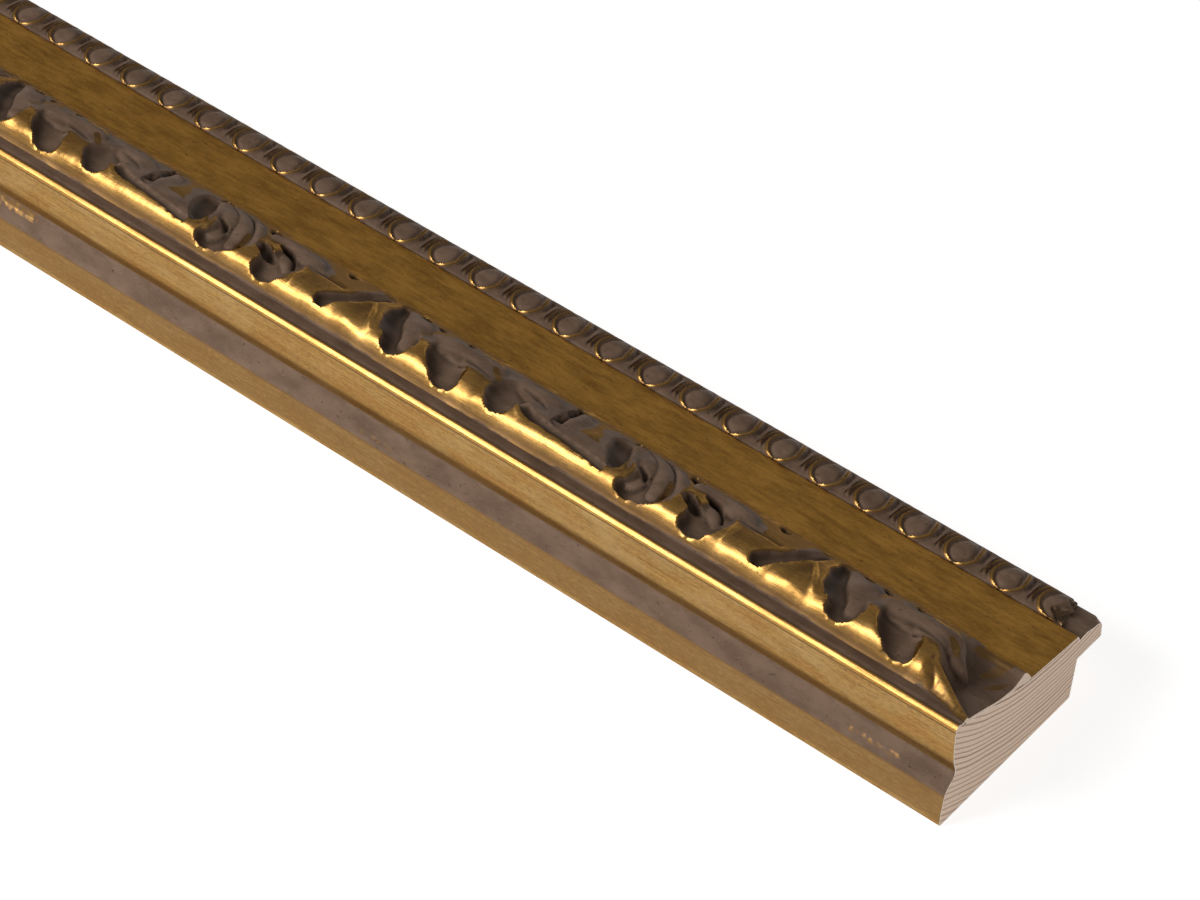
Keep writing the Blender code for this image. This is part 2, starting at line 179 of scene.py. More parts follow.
LOBES = {
    "big leaf": (1, 0.20, ((-24, 14.4, 2.4, 25.5), (-19.5, 15.4, 3.8, 25.8), (-14.5, 15.4, 4, 25.6),
        (-12, 14.6, 3.2, 25.4))),
    "tip of the big leaf": (1, 0.75, ((-13, 14.8, 3.6, 25.5), (-10.6, 13.8, 2.8, 25.1),
        (-8.6, 12.8, 1.8, 24.6), (-7, 12.2, 0.8, 23.8))),
    "valley leaf": (1, 0.22, ((-34, 19.6, 1.1, 22.8), (-30.6, 16.4, 2.9, 24.9),
        (-27.8, 12.6, 2.8, 25.9), (-27.2, 9.8, 2, 26))),
    "narrow leaf": (1, 0.35, ((-41, 19.6, 1.3, 22.6), (-42.6, 16.6, 1.3, 23.9),
        (-44.4, 13.4, 0.8, 24.6))),
    "scroll arch": (1, 0.30, ((-65.2, 16, 1.2, 25.2), (-61, 17.6, 1.8, 24.8),
        (-56, 16, 2.4, 25.4), (-51.6, 13.2, 1.2, 25.8))),
    "scroll tongue": (1, 0.40, ((-61.2, 13.2, 0.9, 25), (-59, 12, 1.3, 25.4),
        (-57.4, 10.4, 0.9, 25.2))),
    "far leaf": (1, 0.25, ((-104.5, 16.6, 2.4, 24.6), (-100, 15.6, 3.4, 25.2),
        (-95.5, 13.8, 2.4, 25.4))),
    "bud": (1, 0.35, ((-91.2, 11.6, 1.2, 26.4), (-90.8, 14.4, 2.1, 25.8), (-91.4, 17.6, 1.6, 24.2))),
    "long stem": (1.3, 0.40, ((-93.5, 10.3, 1.2, 26.5), (-87.5, 9.8, 1.6, 27), (-82.5, 8.8, 1.5, 26.8),
        (-78.8, 7.8, 1.1, 26.3))),
    "fan vein left": (1, 0.22, ((-79, 17.2, 1.6, 24.3), (-76, 13.8, 2.9, 25.6),
        (-74.4, 9.8, 2.4, 25.8))),
    "fan vein middle": (1, 0.35, ((-77, 18.4, 1.2, 23.9), (-72.8, 15.4, 2, 25.2),
        (-70, 11.8, 2.1, 25.8), (-69.6, 8.8, 1.4, 25.8))),
    "fan vein right": (1, 0.5, ((-74, 19.4, 0.8, 23.3), (-69.6, 16.6, 1.1, 24.9),
        (-66.6, 12.6, 1.3, 25.9), (-66, 9, 0.9, 26))),
}
# broad paint, as (taupe, stations with a half-width)
PAINT = {
    "near leaves": (1, ((-31, 17, 6.6), (-22, 17, 6.4), (-12, 17, 6.6), (4, 15, 8))),
    "valley leaf": (1, ((-36, 19, 2.4), (-32.5, 16, 4.4), (-29.5, 12, 3.6), (-28.5, 9, 2.4))),
    "narrow leaf": (1, ((-43.2, 12, 1.1), (-41.6, 15.6, 2.1), (-40.2, 19.8, 2.2))),
    "long stem": (1, ((-94, 10.4, 2.4), (-90, 9.9, 2.4), (-86, 9.7, 2.5), (-80, 8.7, 1.9))),
    "scroll": (1, ((-65, 17.6, 2.2), (-58.5, 17.6, 3.6), (-52.5, 14.8, 2.8))),
    "fan": (1, ((-77.5, 17.5, 3), (-73, 14, 7), (-71, 9, 4.6))),
    "hollow": (1, ((-85.2, 17.6, 2.4), (-82, 15.5, 5), (-80, 10, 3))),
    "far leaves": (1, ((-103.5, 15.5, 5.6), (-97, 14.6, 6), (-92.5, 15, 3.6))),
    "crease of the near leaves": (0.45, ((-27.2, 13.8, 1), (-26, 16, 1.5), (-24.8, 18.6, 1))),
    "stem of the gold face": (0.40, ((-38.6, 13.4, 1), (-37.8, 16, 1.1), (-37.2, 19.6, 1.2))),
    "groove of the fan": (0.45, ((-68.6, 13.2, 0.6), (-68, 10.6, 1), (-67.8, 8.4, 0.9))),
}
# brown film painted on the front roll below the valleys as painted shade that dims its highlight there, as
# (film, stations with a half-width)
ROLL_SHADE = (
    (0.30, ((-80.5, 4.9, 0.9), (-77, 5.2, 1.3), (-73, 5.2, 1.1))),
    (0.26, ((-63.5, 5, 0.8), (-61, 5.1, 1.1), (-57.5, 5.1, 0.8))),
    (0.20, ((-50.5, 5, 0.8), (-47.5, 5.6, 1.2), (-44.5, 5.2, 0.8))),
    (0.22, ((-24, 4.9, 0.8), (-20.5, 5.1, 1.1), (-16.5, 5, 0.8))),
    (0.22, ((-106.5, 5, 0.8), (-104, 5.3, 1.1), (-101.8, 5, 0.7))),
)
# broad paint that isn't repeated: in the dish at the cut, where the leaves have come down
DISH_PAINT = {
    "dish": (1, ((-9.6, 12.6, 2.6), (-5, 10, 5.6), (4, 9, 8))),
    "rubbed ridge": (0.50, ((-8.4, 19.6, 1.2), (-6.6, 20.6, 1.5), (-4.8, 20.6, 1.2))),
    "rubbed dish": (0.52, ((-5.4, 16.4, 0.8), (-4.3, 18.2, 1.4), (-3.2, 20.4, 1.1))),
    "scuff in the dish": (0.56, ((-3.4, 14, 0.4), (-2.2, 15.6, 0.9), (-1.2, 17.4, 0.5))),
}
# fine lines, as (taupe painted along them or None, stations with a rise)
LINES = {
    "left rim of the gold face": (0.05, ((-44, 6.6, 1.2, 0.1), (-42.6, 9.8, 0.8, 0.5),
        (-40.6, 13, 0.7, 0.45), (-39, 14, 0.6, 0.1))),
    "right rim of the gold face": (0.05, ((-38.9, 14, 0.6, 0.1), (-36.8, 11.2, 0.7, 0.4),
        (-35.4, 8.6, 0.8, 0.4), (-34, 6.6, 1.3, 0.05))),
    "hollow of the gold face": (None, ((-39.6, 8.8, 2.2, -0.25), (-38.8, 10.4, 2.4, -0.45),
        (-38.6, 12.2, 1.4, -0.2))),
    "crease behind the roll": (None, ((-53.5, 13.4, 0.9, -0.2), (-49.5, 13.7, 1, -0.5),
        (-45.8, 13.2, 0.8, -0.3))),
    "streak beside the scroll": (0, ((-53.6, 6.9, 0.5, 0.1), (-53.4, 8.6, 0.6, 0.35),
        (-53.6, 10.6, 0.5, 0.1))),
    "slot under the big leaf": (1, ((-16.8, 11.9, 0.5, -0.6), (-15.6, 12, 0.55, -1.4),
        (-14, 12.2, 0.4, -0.5))),
    "eye of the fan": (1, ((-75.2, 12.6, 0.7, -0.5), (-73.6, 11.6, 0.8, -1.1), (-72.8, 10.4, 0.6, -0.4))),
    "groove of the fan": (0.2, ((-68.9, 13.2, 0.6, -0.3), (-68.2, 10.6, 0.6, -0.5),
        (-68.2, 8.4, 0.5, -0.3))),
    "far leaf vein": (None, ((-103.6, 15.6, 0.7, -0.2), (-100, 14.6, 0.8, -0.4),
        (-96.6, 12.6, 0.6, -0.2))),
    "big leaf vein": (None, ((-22.5, 13, 0.9, -0.1), (-18, 13.6, 1.1, -0.35),
        (-13, 13, 0.9, -0.3), (-9.5, 11.6, 0.6, -0.1))),
    "gold edge of the big leaf": (0.1, ((-18, 19.5, 0.3, 0.05), (-14, 19.3, 0.35, 0.1),
        (-11.6, 18.2, 0.3, 0.05))),
    "patch on the big leaf": (0.45, ((-11.6, 15.4, 0.9, 0), (-10.2, 14.2, 1.1, -0.05),
        (-9.2, 13.2, 0.7, 0))),
    "flank of the last face": (0.22, ((-12.4, 10, 1, 0), (-10.6, 8.4, 1.6, 0),
        (-8.6, 7.2, 1.4, 0))),
    "bright edge beside the end valley": (0, ((-25, 11.4, 0.8, 0), (-23.2, 8.4, 1.2, 0.1),
        (-21, 6.2, 0.9, 0))),
    "foot beside the second valley": (0.15, ((-25.6, 9.4, 0.7, 0), (-25, 7.6, 1.3, 0),
        (-24, 6.6, 1.2, 0))),
    "bright edge of the last face": (0, ((-15, 10.4, 0.6, 0), (-13.8, 8.4, 0.9, 0.12),
        (-12.8, 6.8, 1.3, 0), (-11.4, 5.9, 1.2, 0))),
    "flare of the long roll": (0.1, ((-101.6, 10.6, 0.5, 0.1), (-100.4, 8.8, 0.8, 0.2),
        (-98.6, 7.6, 0.9, 0.1))),
    "spur beside the fan": (0.4, ((-78.6, 7.4, 0.7, 0), (-76.2, 8, 0.8, 0.1), (-75.4, 9.8, 0.7, 0.1),
        (-76.4, 12, 0.4, 0))),
    "gold beside the scroll": (0.12, ((-53.8, 7.2, 0.9, 0), (-53.2, 9.4, 0.9, 0.1),
        (-53.2, 11.4, 0.5, 0))),
}
# pits along the ridge, as (x, y, half-width, depth)
PITS = (
    (-49, 19.2, 0.9, 1.8), (-31.4, 19.3, 0.9, 1.8), (-27, 18.9, 0.7, 1.4), (-20.6, 19.5, 0.6, 1),
    (-67.4, 18.4, 1.3, 2), (-80.4, 19.2, 1, 1.6), (-93.4, 19, 1, 1.8), (-61.4, 15, 0.9, 0.9)
)

# egg-and-dart strip
EGG_BAND = (38.45, 46.8)
OVOLO = (
    (38.4, 15.7), (38.8, 16.15), (39.6, 16.4), (41.3, 16.5), (43.2, 16.4), (44.8, 15.9), (46, 15.1),
    (46.6, 14.5), (46.8, 14)
)
EGG_UNDERSIDE = ((38.45, 13.8), (46.8, 13.5))
TORN_END = (-5.2, 0.7)  # where the strip is torn off, and how ragged
EGG_AXIS = -7.0  # where the egg nearest the cut is centred
EGG_PITCHES = (9.72, 10.05)  # near the cut, and beyond the change
EGG_NEAR_COUNT = 9
EGG_CENTRE = 41.4
RIM_HALF_WIDTH = 3.05
RIM_HALF_HEIGHTS = (2.95, 6.4)  # towards the panel, and towards the sight edge
RIM_POINT = 1.7  # the rim is an ellipse at 2 and comes to a point below that
# ridges and grooves round an egg, as (rise, distance out from the rim, half-width)
RIM_RINGS = ((0.34, 0, 0.34), (-0.38, -0.66, 0.36))
DART_RINGS = ((-0.40, 0.85, 0.3), (0.35, 1.35, 0.3), (-0.45, 1.9, 0.32))
RIGHT_RING = ((-0.5, 0.9, 0.5),)

# how the strips are shaped and painted
STROKE_SAMPLES = 24  # points that a stroke is measured by
VALLEY_SOFTNESS = 0.45  # how far a valley's edge rounds over
VALLEY_BOWL = (0.30, 0.42)  # how its floor curves up, in the middle and near the edge
VALLEY_WAVER = 0.035  # how far its outline wavers
ROLL_RISE = 2.2  # how far its floor is lifted off the front roll
LOBE_SOFTNESS = 0.3  # how far the foot of a lobe rounds over
LOBE_SHOULDER = 0.85  # how far out a lobe turns down steeply
RIDGE_TAUPE = 0.46  # wash left on the rubbed ridge
RIDGE_LINE = 21.2  # the ridge's bare edge
TAIL_TAUPE = 0.20  # wash left on the gilded tail
PAINT_EDGE = 0.8  # height over which the wash of a valley or a lobe sets in
# how dark the hollows and creases are painted: grime and painted shade together
GRIME_AND_SHADE_AMONG_LEAVES = 0.6  # how dark the creases are
GRIME_AND_SHADE_AMONG_EGGS = 0.15

# the core's mesh and its faults
NEAR_STEPS = 28  # close cross-sections beside the near cut
NEAR_STEP = 0.25
FAR_STEPS = 400  # cross-sections over the rest of the length
PANEL_ROWS = 22
OUTER_DEPTH = 3.0  # how far in the outer face reaches
SAWN_BACK = 0.02  # faces below this height are sawn wood
SAWN_RABBET = (39.0, 9.75)  # and so are those further in and lower than this
GESSO_LINE = 0.22  # thickness of the gesso round a cut
SHARP_EDGE = math.radians(50)
CHIP_CENTRE = (0.0, 46.8, 13.6)  # corner that is knocked off at the sight edge
CHIP_REACH = (1.6, 2.2, 2.4)
CHIP_DEPTH = 0.5

# wood and finishes
PITH = (34.2, 65.6)  # centre of the wood's rings, as (y, z)
RING_WIDTH = 1.15
WASH_ROUGHNESS = 0.58
BUMP_DEPTH = 0.05 * MM

# stage, in metres
FLOOR_SIZE = 3.0
FLOOR_GAP = 0.05 * MM
LIT_POINT = Vector((0.03, 0.0, 0.015))
SOFTBOX_DIRECTION = Vector((-0.43, -0.68, 0.59))
SOFTBOX_DISTANCE = 0.9
SOFTBOX_SIZE = 0.48
CAMERA_PLACE = (0.3236, -0.3767, 0.4460)
CAMERA_RIGHT = Vector((0.77574, 0.62886, 0.05258))
CAMERA_UP = Vector((-0.45939, 0.50563, 0.73027))


def smooth(t):
    """Ease from 0 to 1, for any t."""
    t = np.clip(t, 0, 1)
    return t * t * (3 - 2 * t)


def through(stations, at):
    """Smooth curve through (place, value) stations, read at the given places."""
    place, value = np.array(stations, float).T
    slope = np.gradient(value, place)
    i = np.clip(np.searchsorted(place, at) - 1, 0, len(place) - 2)
    step = place[i + 1] - place[i]
    f = np.clip((at - place[i]) / step, 0, 1)
    return ((2 * f ** 3 - 3 * f ** 2 + 1) * value[i] + (f ** 3 - 2 * f ** 2 + f) * step * slope[i]
            + (3 * f ** 2 - 2 * f ** 3) * value[i + 1] + (f ** 3 - f ** 2) * step * slope[i + 1])


def straight(stations, at):
    """Straight lines through (place, value) stations, read at the given places."""
    place, value = zip(*stations)
    return np.interp(at, place, value)


def between(value, start, stop):
    """Ease from 0 at the start to 1 at the stop."""
    return smooth((value - start) / (stop - start))


def joined(z, other, softness, up):
    """The higher of two heights where up is 1 and the lower where it is -1, rounded where they meet."""
    h = np.clip(0.5 + 0.5 * up * (other - z) / softness, 0, 1)
    return z * (1 - h) + other * h + up * softness * h * (1 - h)


def along_path(points, t):
    """Catmull-Rom curve through a stroke's stations, t from 0 to 1."""
    p = np.array(points, float)
    p = np.vstack([2 * p[0] - p[1], p, 2 * p[-1] - p[-2]])
    s = t * (len(points) - 1)
    i = np.minimum(s.astype(int), len(points) - 2)
    f = (s - i)[..., None]
    a, b, c, d = p[i], p[i + 1], p[i + 2], p[i + 3]
    bend, turn = 2 * a - 5 * b + 4 * c - d, 3 * b - a - 3 * c + d
    return 0.5 * (2 * b + (c - a) * f + bend * f ** 2 + turn * f ** 3)


def ripple(x, y, size, seed):
    """Soft random waves about 0, of roughly the given size in millimetres."""
    rng = np.random.default_rng(seed)
    total = np.zeros(np.broadcast(x, y).shape)
    for _ in range(10):
        angle, phase = rng.uniform(0, 2 * math.pi, 2)
        pull = 2 * math.pi / size * rng.uniform(0.5, 1.7)
        total += np.sin(pull * (x * math.cos(angle) + y * math.sin(angle)) + phase)
    return total / 3.2


class Relief:
    """A carved surface over a grid: its height, and how much taupe wash lies on it."""

    def __init__(self, x, y):
        self.x, self.y = x, y
        start = LEAF_END[0] - 0.7 - 0.3 * np.clip(y - 5.5, 0, 4)
        plain = smooth((x - start) / (LEAF_END[1] + 1.6 * smooth((y - 6.5) / 4.0)))
        self.z = through(BODY, y) * (1 - plain) + through(GROUND, y) * plain
        # brown film over the whole leaf, partly painted shade
        self.wash = straight(FILM_AND_SHADE, y)

    def stroke(self, points, shift):
        """Where a stroke reaches: its window, the place across it from 0 to 1, the signed distance,
        and its half-width and height there."""
        reach = 1.25 * max(p[2] for p in points) + 0.5
        xs, ys = [p[0] + shift for p in points], [p[1] for p in points]
        i = np.searchsorted(self.x[:, 0], (min(xs) - reach, max(xs) + reach))
        j = np.searchsorted(self.y[0], (min(ys) - reach, max(ys) + reach))
        window = (slice(*i), slice(*j))
        x, y = self.x[window] - shift, self.y[window]
        t = np.linspace(0, 1, STROKE_SAMPLES)
        line = along_path(points, t)[:, :2]
        best = np.full(x.shape, np.inf)
        place, across = np.zeros(x.shape), np.zeros(x.shape)
        for k in range(STROKE_SAMPLES - 1):
            vx, vy = line[k + 1] - line[k]
            f = np.clip(((x - line[k, 0]) * vx + (y - line[k, 1]) * vy) / (vx * vx + vy * vy), 0, 1)
            dx, dy = x - line[k, 0] - f * vx, y - line[k, 1] - f * vy
            distance = np.hypot(dx, dy)
            near = distance < best
            best = np.where(near, distance, best)
            place = np.where(near, t[k] + f * (t[k + 1] - t[k]), place)
            across = np.where(near, (vy * dx - vx * dy) / np.hypot(vx, vy), across)
        there = along_path(points, place)
        half = np.maximum(there[..., 2], 0.05)
        return window, best / half, across, half, there[..., 3]

    def scoop(self, points, shift, tilt):
        """Cut a valley, and wash it."""
        window, t, across, half, floor = self.stroke(points, shift)
        x, y, z = self.x[window], self.y[window], self.z[window]
        t = t * (1 + VALLEY_WAVER * ripple(x, y, 4.5, 11))
        cut = floor + half * (VALLEY_BOWL[0] * t ** 2 + VALLEY_BOWL[1] * t ** 6) + tilt * across
        cut = cut + ROLL_RISE * (1 - between(y, *ROLL_KEPT))
        cover = np.clip(0.5 + (z - cut - 0.15) / PAINT_EDGE, 0, 1)
        self.wash[window] = np.maximum(self.wash[window], cover)
        self.z[window] = joined(z, cut, VALLEY_SOFTNESS, -1)

    def lobe(self, points, shift, paint, crown):
        """Raise a leaf, stem or vein, and paint it."""
        window, t, _, half, top = self.stroke(points, shift)
        z = self.z[window]
        top = np.minimum(top, through(LEAF_CAP, self.y[window]))
        dome = top - crown * half * t ** 2 - 6.0 * half * np.clip(t - LOBE_SHOULDER, 0, None) ** 1.5
        cover = np.clip(0.5 + (dome - z) / PAINT_EDGE, 0, 1)
        self.wash[window] += (paint - self.wash[window]) * cover
        self.z[window] = joined(z, dome, LOBE_SOFTNESS, 1)

    def line(self, points, shift, paint):
        """Raise or sink the surface along a line, and paint it unless paint is None."""
        window, t, _, _, rise = self.stroke(points, shift)
        hump = np.clip(1 - t * t, 0, None) ** 2
        self.z[window] += rise * hump
        if paint is not None:
            self.wash[window] += (paint - self.wash[window]) * np.clip(2.0 * hump, 0, 1)

    def brush(self, points, shift, paint):
        """Paint along a line and leave the surface as it is."""
        window, t, _, _, _ = self.stroke([(*point, 0.0) for point in points], shift)
        self.wash[window] += (paint - self.wash[window]) * smooth((1.0 - t) / 0.35)

    def pit(self, x, y, half, depth, shift):
        start = (x - 0.6 * half, y + 0.3 * half, 0.8 * half, -depth)
        stop = (x + 0.6 * half, y - 0.3 * half, half, -depth)
        self.line((start, stop), shift, 1.0)


def acanthus_relief(x, y, repeat):
    """The strip of leaves over a grid: height and wash."""
    relief = Relief(x, y)
    turns = [-turn * repeat for turn in range(3)]
    for shift in turns:
        for points in SLOPES.values():
            relief.line(points, shift, None)
        # painted shade on the front roll, then the broad paint
        for paint, points in (*ROLL_SHADE, *PAINT.values()):
            relief.brush(points, shift, paint)
    for paint, points in DISH_PAINT.values():
        relief.brush(points, 0.0, paint)
    for shift in turns:
        for tilt, points in VALLEYS.values():
            relief.scoop(points, shift, tilt)
    for shift in turns:
        for paint, crown, points in LOBES.values():
            relief.lobe(points, shift, paint, crown)
    rubbed = between(y, *RIDGE_RUBBED) * (x < LEAF_END[0])
    relief.wash += (RIDGE_TAUPE + 0.14 * ripple(x, y, 4.0, 5) - relief.wash) * rubbed
    relief.wash -= 0.2 * smooth((y - RIDGE_LINE) / 0.5)
    for shift in turns:
        for paint, points in LINES.values():
            relief.line(points, shift, paint)
        for px, py, half, depth in PITS:
            relief.pit(px, py, half, depth, shift)
    z, wash = relief.z, relief.wash
    front, behind, rise = (straight([(row[0], row[k]) for row in TAIL], x) for k in (1, 2, 3))
    across = (y - front) / (behind - front)
    hump = smooth(across / TAIL_CREST) * (1 - between(across, TAIL_CREST, 1))
    tail = np.where(x > TAIL[0][0], hump, 0.0)
    z = np.maximum(z, through(GROUND, y) + rise * tail)
    end = smooth((x - LEAF_END[0] + 0.9) / 1.6)
    wash = wash * (1 - end) + np.where(y > 9.5, wash, 1.0) * end
    foot = straight(FOOT, (x - FOOT[-1][0]) % -repeat + FOOT[-1][0]) + 0.06 * ripple(x, 0 * y, 4.0, 6)
    wash = wash + (1.0 - wash) * smooth((foot + 0.25 - y) / 0.6)
    gilded = smooth(across / 0.12) * (1 - smooth((across - TAIL_CREST) / 0.25))
    gilded = gilded * smooth((x - TAIL[0][0]) / 2.0)
    wash = wash + (TAIL_TAUPE + 0.18 * ripple(x, y, 1.5, 7) - wash) * gilded
    z = z + 0.07 * ripple(x, y, 7.0, 3) * smooth((y - 4.9) / 1.5) * (x < LEAF_END[0])
    z = z + 0.008 * ripple(x, y, 1.6, 4)
    return np.maximum(z, straight(LEAF_UNDERSIDE, y) + 0.25), np.clip(wash, 0, 1.3)


def bell(t):
    return np.exp(-t * t)


def rings(out, table):
    """Ridges and grooves at their distances out from a rim."""
    return sum(rise * bell((out - middle) / half) for rise, middle, half in table)


def egg_relief(x, y):
    """The egg-and-dart strip over a grid: height and wash."""
    change = EGG_AXIS - EGG_NEAR_COUNT * EGG_PITCHES[0]
    pitch = np.where(x > change, *EGG_PITCHES)
    along = (x - change + pitch / 2) % pitch - pitch / 2
    up = y - EGG_CENTRE
    wide, high = np.abs(along) / RIM_HALF_WIDTH, np.abs(up) / np.where(up < 0, *RIM_HALF_HEIGHTS)
    rim = (wide ** RIM_POINT + high ** RIM_POINT) ** (1 / RIM_POINT)
    out = (rim - 1) * RIM_HALF_WIDTH
    left = smooth((0.6 - along) / 1.6) * smooth((up + 2.2) / 1.8)
    right = smooth(along / 1.5) * smooth((up + 0.6) / 2.0)
    z = through(OVOLO, y) + rings(out, RIM_RINGS)
    z = z + 0.16 * smooth((0.8 - rim) / 0.5) - 0.35 * smooth((out - 0.35) / 0.5)
    z = z + rings(out, DART_RINGS) * left + rings(out, RIGHT_RING) * right
    rubbed = (0.34 + 0.36 * smooth((1.5 - up) / 3.0)) * smooth((4.3 - up) / 2.0)
    wash = 1 - bell((out - 0.04) / 0.36) * rubbed - 0.35 * left * bell((out - 1.35) / 0.25)
    crest = smooth((46.3 - y) / 1.6)
    z = through(OVOLO, y) * (1 - crest) + z * crest
    return z + 0.02 * ripple(x, y, 2.5, 8), np.clip(wash, 0, 1)


def torn_off(x, y, z, wash):
    """The egg strip with its near end ragged and crumbled: x, height and wash."""
    end, ragged = TORN_END
    crumbled = smooth((x - end + 1.3 + 0.3 * ripple(x, y, 2.0, 21)) / 0.9)
    z = z - (0.8 + 0.14 * ripple(x, y, 1.1, 22)) * crumbled
    wash = wash + (0.8 - wash) * 0.8 * crumbled
    x = x + ragged * smooth((x - end + 3.0) / 3.0) * ripple(0 * x, y, 3.0, 12)
    return x, np.maximum(z, EGG_UNDERSIDE[0][1] + 0.2), wash


def placed(x, y, z):
    """Millimetres from the near cut, the outer face and the back, to metres in the frame."""
    return (CAD_BOX[1].x + x * MM, CAD_BOX[0].y + y * MM, CAD_BOX[0].z + z * MM)


def measured(place):
    """How far a place is in from the outer face and up from the back, in millimetres."""
    return (place.y - CAD_BOX[0].y) / MM, (place.z - CAD_BOX[0].z) / MM


def strip_grid(end, band, grain):
    """Grid points from the far cut to the near end of a strip and across its band."""
    along = np.linspace(-LENGTH, end, round((LENGTH + end) / grain) + 1)
    across = np.linspace(*band, round((band[1] - band[0]) / grain) + 1)
    return np.meshgrid(along, across, indexing="ij")


def mesh_from(bm, name):
    mesh = bpy.data.meshes.new(name)
    bm.to_mesh(mesh)
    bm.free()
    return mesh


def add_object(name, data):
    """A new object, linked into the scene."""
    thing = bpy.data.objects.new(name, data)
    bpy.context.scene.collection.objects.link(thing)
    return thing


def finish_piece(bm, name, node, materials):
    """Turn a bmesh into the piece that stands for a node."""
    mesh = mesh_from(bm, name)
    for material in materials:
        mesh.materials.append(bpy.data.materials[material])
    mesh.shade_smooth()
    mesh.set_sharp_from_angle(angle=SHARP_EDGE)
    piece = add_object(name, mesh)
    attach(piece, "root")
    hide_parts(node)
    return piece


def relief_mesh(x, y, z, wash, creased, underside):
    """A strip whose face is a grid shaped by z, closed by its walls, a plain back and its ends."""
    bm = bmesh.new()
    paint, worn, shade_and_grime, tone = [bm.verts.layers.float.new(name) for name in ("wash", "worn", "shade_and_grime", "tone")]
    long, wide = x.shape[0] - 1, x.shape[1] - 1
    bmesh.ops.create_grid(bm, x_segments=long, y_segments=wide, size=1.0)
    columns = np.rint((np.array([v.co.x for v in bm.verts]) + 1) / 2 * long).astype(int)
    rows = np.rint((np.array([v.co.y for v in bm.verts]) + 1) / 2 * wide).astype(int)
    sharpness = wear(z)
    # grime and painted shade in the hollows and creases
    deep = hollow_grime_and_shade(x, y, z, sharpness, creased)
    for vertex, i, j in zip(bm.verts, columns, rows):
        vertex.co = placed(x[i, j], y[i, j], z[i, j])
        vertex[paint] = wash[i, j]
        vertex[worn] = sharpness[i, j]
        vertex[shade_and_grime] = deep[i, j]
        vertex[tone] = WARM_LEAF
    bm.verts.index_update()
    sides = [edge for edge in bm.edges if edge.is_boundary
             and all(rows[v.index] in (0, wide) for v in edge.verts)
             and rows[edge.verts[0].index] == rows[edge.verts[1].index]]
    walls = bmesh.ops.extrude_edge_only(bm, edges=sides)["geom"]
    feet = {item for item in walls if isinstance(item, bmesh.types.BMVert)}
    for vertex in feet:
        vertex.co.z = CAD_BOX[0].z + float(straight(underside, measured(vertex.co)[0])) * MM
    low = [item for item in walls if isinstance(item, bmesh.types.BMEdge)
           and item.is_boundary and all(v in feet for v in item.verts)]
    bmesh.ops.bridge_loops(bm, edges=low)
    for face in fill_holes(bm):
        face.material_index = 1
    bmesh.ops.recalc_face_normals(bm, faces=bm.faces)
    return bm


def fill_holes(bm):
    """Cap every open loop, and give the new faces."""
    before = set(bm.faces)
    bmesh.ops.holes_fill(bm, edges=[edge for edge in bm.edges if edge.is_boundary], sides=0)
    return list(set(bm.faces) - before)


def wood_outline():
    """The core's section as rows of (y, z, wash, tone), once round from the outer bottom corner."""
    rows = []
    for z in np.concatenate([np.linspace(*span) for span in OUTER_ROWS]):
        wash = smooth((z - WASHED_COVE[0]) / 0.9 + 0.5) * (1 - smooth((z - WASHED_COVE[1]) / 0.8 + 0.5))
        # painted shade above the washed cove
        wash = max(wash, 0.20 * (1 - smooth(abs(z - COVE_SHADE[0]) / COVE_SHADE[1])))
        wash = max(wash, LOWER_FILM * smooth((z - 0.5) / 0.8) * (z < WASHED_COVE[0]))
        wash = max(wash, 0.45 * (BEAD_SHADOW[0] < z < BEAD_SHADOW[1]))
        rows.append((through(OUTER_FACE, z), z, wash, 0.0))
    rows += [(y, z, between(y, *BEAD_GILDED), WARM_LEAF) for y, z in BEAD]
    rows += [(y, z, 1.0, 0.0) for y, z in (*FLAT, *SEAT)]
    rows += [(y, straight(PANEL, y), 0.0, 1.0) for y in np.linspace(PANEL[0][0], PANEL[1][0], PANEL_ROWS)]
    rows += [(y, z, 1.0, 0.0) for y, z in (*SIGHT_GROUND, *RABBET)]
    return rows


def scuffed(x, z):
    """How much of the cove's wash is rubbed off at a place."""
    total = 0.0
    for start, stop, height, half, rubbed in SCUFFS:
        reach = smooth(1.4 - abs((z - height) / half)) * smooth(min(x - start, stop - x) / 3.0 + 0.5)
        if reach > 0:
            total += rubbed * float(reach) * (0.75 + 0.5 * float(ripple(x, 2 * z, 2.2, 31)))
    return total


def chipped(x, y, z):
    """How near a place is to the knocked corner, from 0 to 1."""
    offsets = [(at - centre) / reach for at, centre, reach in zip((x, y, z), CHIP_CENTRE, CHIP_REACH)]
    return max(0.0, 1 - math.hypot(*offsets))


